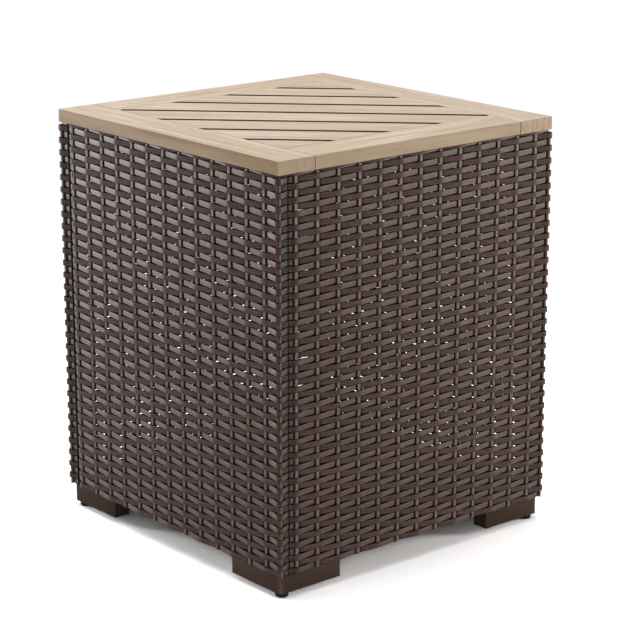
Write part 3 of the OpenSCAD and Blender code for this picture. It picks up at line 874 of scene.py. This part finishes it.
class PanelTemplates:
    """The strips that all four panels repeat: two rows that take turns, the rim, a stake and the corner."""

    def __init__(self, sizes: PanelSizes, turns: Turns) -> None:
        """Draws each strip once.

        Args:
            sizes: Sizes of the panel.
            turns: How its strips round their corners.
        """
        self.sizes = sizes
        self.turns = turns
        weft = StripSweep(StripSection(sizes.strip_h * MM, sizes.strip_t * MM), UP)
        rim = StripSweep(StripSection(sizes.rim_h * MM, sizes.strip_t * MM), UP)
        stake = StripSweep(StripSection(sizes.stake_w * MM, sizes.stake_t * MM, shoulder=0.8, crown=0.4),
                           Vector((-1.0, 0.0, 0.0)))
        self.rows = [weft.draw(self.row_path(row), f"row_{row}") for row in range(2)]
        self.rim = rim.draw(self.row_path(sizes.rows), "rim")
        self.stake = stake.draw(self.stake_path(), "stake")
        self.corner = self.corner_stake()

    def row_path(self, row: int) -> list[Vector]:
        """Returns the middle line of a row, from its tuck behind the start post to the one behind the end."""
        s = self.sizes
        post = s.start_u + s.strip_t / 2
        hook = [(s.start_tuck, s.tuck_depth), (post, s.tuck_depth), (post, s.hug_depth),
                (s.start_tuck, s.hug_depth)]
        points = [hook[0], *eased_corners(hook, self.turns.tuck)]
        if s.side(row, 0) < 0:
            points.append((s.stake_u(0) - s.stake_w / 2 - 2 * s.fit,
                           s.mid_depth - s.wave + s.fit + self.turns.first_rise))
        for stake in range(s.stakes):
            points += self.pass_points(row, stake)
        points += self.corner_points(row)
        return [Vector((u * MM, depth * MM, 0.0)) for u, depth in points]

    def pass_points(self, row: int, stake: int) -> list[Point]:
        """Returns the gentle bend of a row over or behind one stake."""
        s = self.sizes
        centre = s.stake_u(stake)
        side = s.side(row, stake)
        reach = s.stake_w
        foot = s.wave - s.wave / (s.stake_pitch / 2) * reach
        bend = [(-reach, foot), (-reach / 2, s.shoulder), (0.0, s.crest), (reach / 2, s.shoulder),
                (reach, foot)]
        if stake == 0:
            bend = bend[1:]
        return [(centre + offset, s.mid_depth + side * height) for offset, height in bend]

    def corner_points(self, row: int) -> list[Point]:
        """Returns a row's way round the corner, over or under the folded stake, to its tuck."""
        s = self.sizes
        turns = self.turns
        half_t = s.strip_t / 2
        last = s.stake_u(s.stakes - 1) + s.stake_w / 2 + 2 * s.fit
        depth = s.corner_out + s.corner_leg + 4 * s.fit
        edge = s.half - depth
        inner = s.half - s.hug_depth
        if s.side(row, s.stakes) < 0:
            out = s.half - half_t
            run, fall = turns.ramp
            bend = [(edge - run, half_t + fall), (edge, half_t + turns.fold_gap),
                    *eased_corners([(edge, half_t), (out, half_t), (out, depth)], turns.outer),
                    (out - turns.fold_gap, depth),
                    (inner + turns.lean, s.tube_depth + s.tube * turns.lean_from),
                    (inner, s.tube_depth + s.tube * turns.lean_to)]
        else:
            under = [(edge, s.hug_depth), (inner, s.hug_depth), (inner, s.tuck_depth)]
            bend = [under[0], *eased_corners(under, turns.inner)]
        tail = [(inner, s.hug_depth), (inner, s.tuck_depth), (s.post_end - s.tuck, s.tuck_depth)]
        return [*(point for point in bend if point[0] > last), (inner, s.tuck_depth - turns.straight),
                *eased_corners(tail, turns.tuck), tail[-1]]

    def stake_path(self) -> list[Vector]:
        """Returns the middle line of a stake, down its outside and looped round both rails."""
        s = self.sizes
        clear = s.fit + s.stake_t / 2
        back = s.tube_depth + s.tube + clear
        low = s.rail_bottom - clear
        high = s.rail_top + clear
        tail = s.tube * self.turns.tail
        path = [(back, s.rail_top - tail), (back, high), (s.mid_depth, high), (s.mid_depth, low), (back, low),
                (back, s.rail_bottom + tail)]
        points = [path[0], *eased_corners(path, self.turns.stake), path[-1]]
        return [Vector((0.0, depth * MM, z * MM)) for depth, z in points]

    def corner_stake(self) -> Mesh:
        """Returns the folded stake of the corner: an L drawn upwards, with its outer fold eased."""
        s = self.sizes
        out = s.half - s.corner_out
        near = s.corner_out
        outline = [(out - s.corner_leg, near), (out, near), (out, near + s.corner_leg),
                   (out - s.stake_t, near + s.corner_leg), (out - s.stake_t, near + s.stake_t),
                   (out - s.corner_leg, near + s.stake_t)]
        shape = bmesh.new()
        face = shape.faces.new([shape.verts.new((x * MM, y * MM, s.weave_bottom * MM)) for x, y in outline])
        top = bmesh.ops.extrude_face_region(shape, geom=[face])["geom"]
        height = (s.rim_z - s.fit - s.weave_bottom) * MM
        bmesh.ops.translate(shape, vec=(0.0, 0.0, height),
                            verts=[item for item in top if isinstance(item, BMVert)])
        fold = [edge for edge in shape.edges
                if all(max(abs(vert.co.x - out * MM), abs(vert.co.y - near * MM)) < MM * s.fit
                       for vert in edge.verts)]
        bmesh.ops.bevel(shape, geom=fold, offset=self.turns.fold * MM, segments=self.turns.fold_segments,
                        profile=ROUND_PROFILE, affect="EDGES", material=-1)
        bmesh.ops.recalc_face_normals(shape, faces=shape.faces)
        layer = shape.loops.layers.uv.new("strip")
        for face in shape.faces:
            for loop in face.loops:
                loop[layer].uv = (loop.vert.co.z, loop.vert.co.x + loop.vert.co.y)
        return finished_mesh("corner_stake", shape)


def eased_corners(path: Sequence[Point], steps: Steps) -> list[Point]:
    """Returns the points that round the corners of a path whose legs run along one axis or the other.

    Args:
        path: The path's ends and corners.
        steps: Points of a corner, each so far from it along the leg that comes and along the one that goes.
    """
    def step(start: float, end: float, length: float) -> float:
        """Returns how a coordinate changes on the way to another point."""
        return math.copysign(length, end - start) if end != start else 0.0

    return [tuple(here + step(here, last, come) + step(here, next_one, go)
                  for last, here, next_one in zip(before, corner, after))
            for before, corner, after in zip(path, path[1:], path[2:]) for come, go in steps]


def finished_mesh(name: str, shape: BMesh) -> Mesh:
    """Returns a mesh of this name made of a finished shape, which is freed."""
    mesh = bpy.data.meshes.new(name)
    shape.to_mesh(mesh)
    shape.free()
    return mesh


def new_object(name: str, shape: BMesh, material: Material) -> Object:
    """Returns an object at the origin, made of a finished shape.

    Args:
        name: Name of the piece.
        shape: The shape, which is freed.
        material: Its finish.
    """
    mesh = finished_mesh(name, shape)
    mesh.materials.append(material)
    made = bpy.data.objects.new(name, mesh)
    bpy.context.scene.collection.objects.link(made)
    return made


@dataclass(frozen=True)
class Easing:
    """Rounding of a CAD node's long sharp edges; shorter ones stay, and with them its bores and slots.

    Corners nearer than merged become one, and the angles say which faces are flat and which edges are sharp
    or shaded smooth.
    """

    width: float
    shortest: float
    segments: int = 2
    merged: float = 0.002 * MM
    flat: float = math.radians(0.5)
    sharp: float = math.radians(50)
    smooth: float = math.radians(40)

    def copy(self, node: Object, name: str, material: Material) -> Object:
        """Returns a rounded copy that stands for a node.

        Args:
            node: The CAD node's object.
            name: Name of the new piece.
            material: Its finish.
        """
        shape = bmesh.new()
        shape.from_mesh(node.data)
        bmesh.ops.remove_doubles(shape, verts=shape.verts, dist=self.merged)
        bmesh.ops.dissolve_limit(shape, angle_limit=self.flat, verts=shape.verts, edges=shape.edges)
        edges = [edge for edge in shape.edges
                 if len(edge.link_faces) == 2 and edge.calc_face_angle() > self.sharp
                 and edge.calc_length() > self.shortest]
        bmesh.ops.bevel(shape, geom=edges, offset=self.width, segments=self.segments, profile=ROUND_PROFILE,
                        affect="EDGES", material=-1, clamp_overlap=True)
        for face in shape.faces:
            face.smooth = True
        for edge in shape.edges:
            edge.smooth = edge.calc_face_angle(0.0) < self.smooth
        made = new_object(name, shape, material)
        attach(made, node["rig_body"])
        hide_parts(node.name)
        return made


@dataclass
class Feet:
    """Four L-shaped feet of coated tube with black glides under their corners."""

    nodes: Nodes
    coat: Material
    plastic: Material
    easing: Easing = Easing(1.1 * MM, 12 * MM)
    corners: tuple[str, ...] = ("front_right", "back_right", "back_left", "front_left")

    def build(self) -> None:
        """Rounds the edges of the feet and dresses the glides."""
        for corner in self.corners:
            foot = self.easing.copy(self.nodes[f"foot_{corner}"], f"foot_shell_{corner}", self.coat)
            dress(self.nodes, self.plastic, f"glide_{corner}")


@dataclass
class Carcass:
    """Rails, posts, cross bars and base slats inside the body."""

    nodes: Nodes
    coat: Material
    easing: Easing = Easing(1.2 * MM, 9 * MM)

    def build(self) -> None:
        """Dresses the tubes and gives the base slats eased edges."""
        tubes = [f"{side.label}_{part}" for side in Side
                 for part in ("top_rail", "bottom_rail", "start_post", "end_post")]
        dress(self.nodes, self.coat, *tubes, "base_bar_front", "base_bar_back")
        base = self.easing.copy(self.nodes["base_slats"], "base_slats_eased", self.coat)


@dataclass
class Lid:
    """Boards, diagonal slats and the battens under them."""

    nodes: Nodes
    slats: int = 8
    shift_step: float = 0.37

    def build(self) -> None:
        """Gives each board a timber of its own, cut along its length."""
        grains = {"front": Grain.ACROSS_FRONT, "back": Grain.ACROSS_FRONT, "centre": Grain.ACROSS_FRONT,
                  "left": Grain.FRONT_TO_BACK, "right": Grain.FRONT_TO_BACK}
        boards = [place for place in grains if place != "centre"]
        for number, place in enumerate(boards):
            self.lay(f"lid_board_{place}", LidTimber, grains[place], number)
        for number in range(1, self.slats + 1):
            self.lay(f"lid_slat_{number}", SlatTimber, Grain.DIAGONAL, number + len(boards))
        for number, (place, grain) in enumerate(grains.items(), len(boards) + self.slats):
            self.lay(f"batten_{place}", BattenTimber, grain, number)

    def lay(self, name: str, timber: type[Timber], grain: Grain, number: int) -> None:
        """Dresses one board in a timber whose pattern is moved along by its number.

        Args:
            name: The board's CAD node.
            timber: Kind of timber.
            grain: Direction of its grain.
            number: The board's number.
        """
        offset = self.shift_step * (number + 1)
        dress(self.nodes, timber(f"timber_{name}", grain, offset).build(), name)


@dataclass
class Hardware:
    """Hinges, bolts and screws."""

    nodes: Nodes
    zinc: Material
    fasteners: tuple[str, ...] = ("foot_screws", "corner_bolts", "base_screws", "lid_screws")

    def build(self) -> None:
        """Dresses each piece in zinc."""
        hinges = [name for name in self.nodes if name.startswith("hinge_")]
        dress(self.nodes, self.zinc, *hinges, *self.fasteners)


def dress(nodes: dict[str, Object], material: Material, *names: str) -> None:
    """Gives CAD nodes one material.

    Args:
        nodes: All the nodes' objects.
        material: Their finish.
        *names: The nodes to dress.
    """
    for name in names:
        nodes[name].data.materials.clear()
        nodes[name].data.materials.append(material)


@dataclass(frozen=True)
class Lamp:
    """A soft box that faces a point, with its sizes in metres and the light of each part of its face."""

    name: str
    place: Triple
    target: Triple
    width: float
    height: float
    radiance: float
    tint: Colour = WHITE

    def build(self) -> None:
        """Hangs the lamp, out of the camera's sight."""
        light = bpy.data.lights.new(self.name, "AREA")
        light.shape = "RECTANGLE"
        light.size = self.width
        light.size_y = self.height
        light.color = self.tint
        light.energy = self.radiance * math.pi * self.width * self.height
        lamp = bpy.data.objects.new(self.name, light)
        lamp.location = self.place
        aim = Vector(self.target) - Vector(self.place)
        lamp.rotation_euler = aim.to_track_quat("-Z", "Y").to_euler()
        lamp.visible_camera = False
        bpy.context.scene.collection.objects.link(lamp)


@dataclass
class Studio:
    """Pale floor, soft boxes, even surroundings and the camera.

    Lengths are in metres and angles in degrees, but the sensor and the lens are in millimetres. The floor
    fades out between two shares of its radius.
    """

    sky: float = 0.15
    floor_colour: float = 0.5
    floor_seen: float = 2.3
    floor_radius: float = 2.4
    floor_sides: int = 96
    floor_fade: Point = (0.4, 0.95)
    lamps: tuple[Lamp, ...] = (
        Lamp("overhead", (-0.3, -0.2, 2.6), (0.0, 0.0, 0.3), width=2.2, height=2.2, radiance=3.05),
        Lamp("left_strip", (-2.9, -1.45, 0.56), (0.0, -0.25, 0.4), width=0.75, height=1.15, radiance=25.5),
        Lamp("right_strip", (1.9, 2.5, 0.62), (0.25, 0.0, 0.4), width=0.75, height=1.15, radiance=23.0,
             tint=(1.0, 0.96, 0.93)),
        Lamp("corner_strip", (2.3, -2.3, 0.9), (0.25, -0.25, 0.3), width=0.6, height=1.6, radiance=3.5),
    )
    camera_place: Triple = (2.40059, -1.99607, 1.16414)
    camera_pitch: float = 15.5609
    camera_turn: float = 49.8171
    camera_sensor: float = 36.0
    camera_lens: float = 125.392
    camera_clip: Point = (0.05, 60.0)

    def build(self) -> None:
        """Sets up the studio."""
        self.floor()
        self.surroundings()
        for lamp in self.lamps:
            lamp.build()
        self.camera()
        bpy.context.scene.view_settings.view_transform = "Standard"

    def floor(self) -> None:
        """Lays a round floor that thins out into the white round it and keeps the table's shadow."""
        shape = bmesh.new()
        bmesh.ops.create_circle(shape, cap_ends=True, segments=self.floor_sides, radius=self.floor_radius)
        material = bpy.data.materials.new("studio_floor")
        tree = NodeTree(material)
        seen = tree.node("LightPath").outputs["Is Camera Ray"]
        place = tree.node("TexCoord").outputs["Object"]
        distance = tree.node("VectorMath", {0: place}, operation="LENGTH").outputs["Value"]
        outer = tree.fade(distance, *(self.floor_radius * share for share in self.floor_fade))
        colour = tree.blend(seen, (self.floor_colour,) * 3, (self.floor_seen,) * 3)
        matt = tree.node("BsdfDiffuse", {"Color": colour}).outputs[0]
        clear = tree.node("BsdfTransparent").outputs[0]
        thin = tree.node("MixShader", {0: tree.times(outer, seen), 1: matt, 2: clear})
        tree.node("OutputMaterial", {"Surface": thin.outputs[0]})
        new_object("studio_floor", shape, material)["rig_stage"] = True

    def surroundings(self) -> None:
        """Makes the world white to the eye and a soft light of its own level."""
        world = bpy.data.worlds.new("studio")
        bpy.context.scene.world = world
        tree = NodeTree(world)
        seen = tree.node("LightPath").outputs["Is Camera Ray"]
        level = tree.fade(seen, 0.0, 1.0, self.sky, 1.0)
        glow = tree.node("Background", {"Color": WHITE, "Strength": level})
        tree.node("OutputWorld", {"Surface": glow.outputs[0]})

    def camera(self) -> None:
        """Places the camera at the photograph's angle."""
        data = bpy.data.cameras.new("camera")
        data.sensor_width = self.camera_sensor
        data.lens = self.camera_lens
        data.clip_start, data.clip_end = self.camera_clip
        made = bpy.data.objects.new("camera", data)
        made.location = self.camera_place
        made.rotation_euler = (math.radians(90.0 - self.camera_pitch), 0.0, math.radians(self.camera_turn))
        bpy.context.scene.collection.objects.link(made)
        bpy.context.scene.camera = made


def corners() -> list[list[float]]:
    """Returns the lowest and the highest corner of what is shown."""
    return [list(corner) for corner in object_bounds()]


def main() -> None:
    """Builds the table's pieces in order and the studio round them."""
    logging.basicConfig(level=logging.INFO, format="%(name)s: %(message)s")
    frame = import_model()
    nodes = frame["nodes"]
    Studio().build()
    resin = WovenResin().build()
    coat = PowderCoat().build()
    templates = PanelTemplates(PanelSizes(), Turns())
    for side in Side:
        for piece in WovenPanel(side, resin, templates).build():
            LOG.info("%s: %d faces", piece.name, len(piece.data.polygons))
    Feet(nodes, coat, MouldedPlastic().build()).build()
    LOG.info("feet and glides dressed")
    Carcass(nodes, coat).build()
    LOG.info("carcass dressed")
    Lid(nodes).build()
    LOG.info("lid dressed")
    Hardware(nodes, ZincPlate().build()).build()
    LOG.info("hardware dressed")


if __name__ == "__main__":
    main()
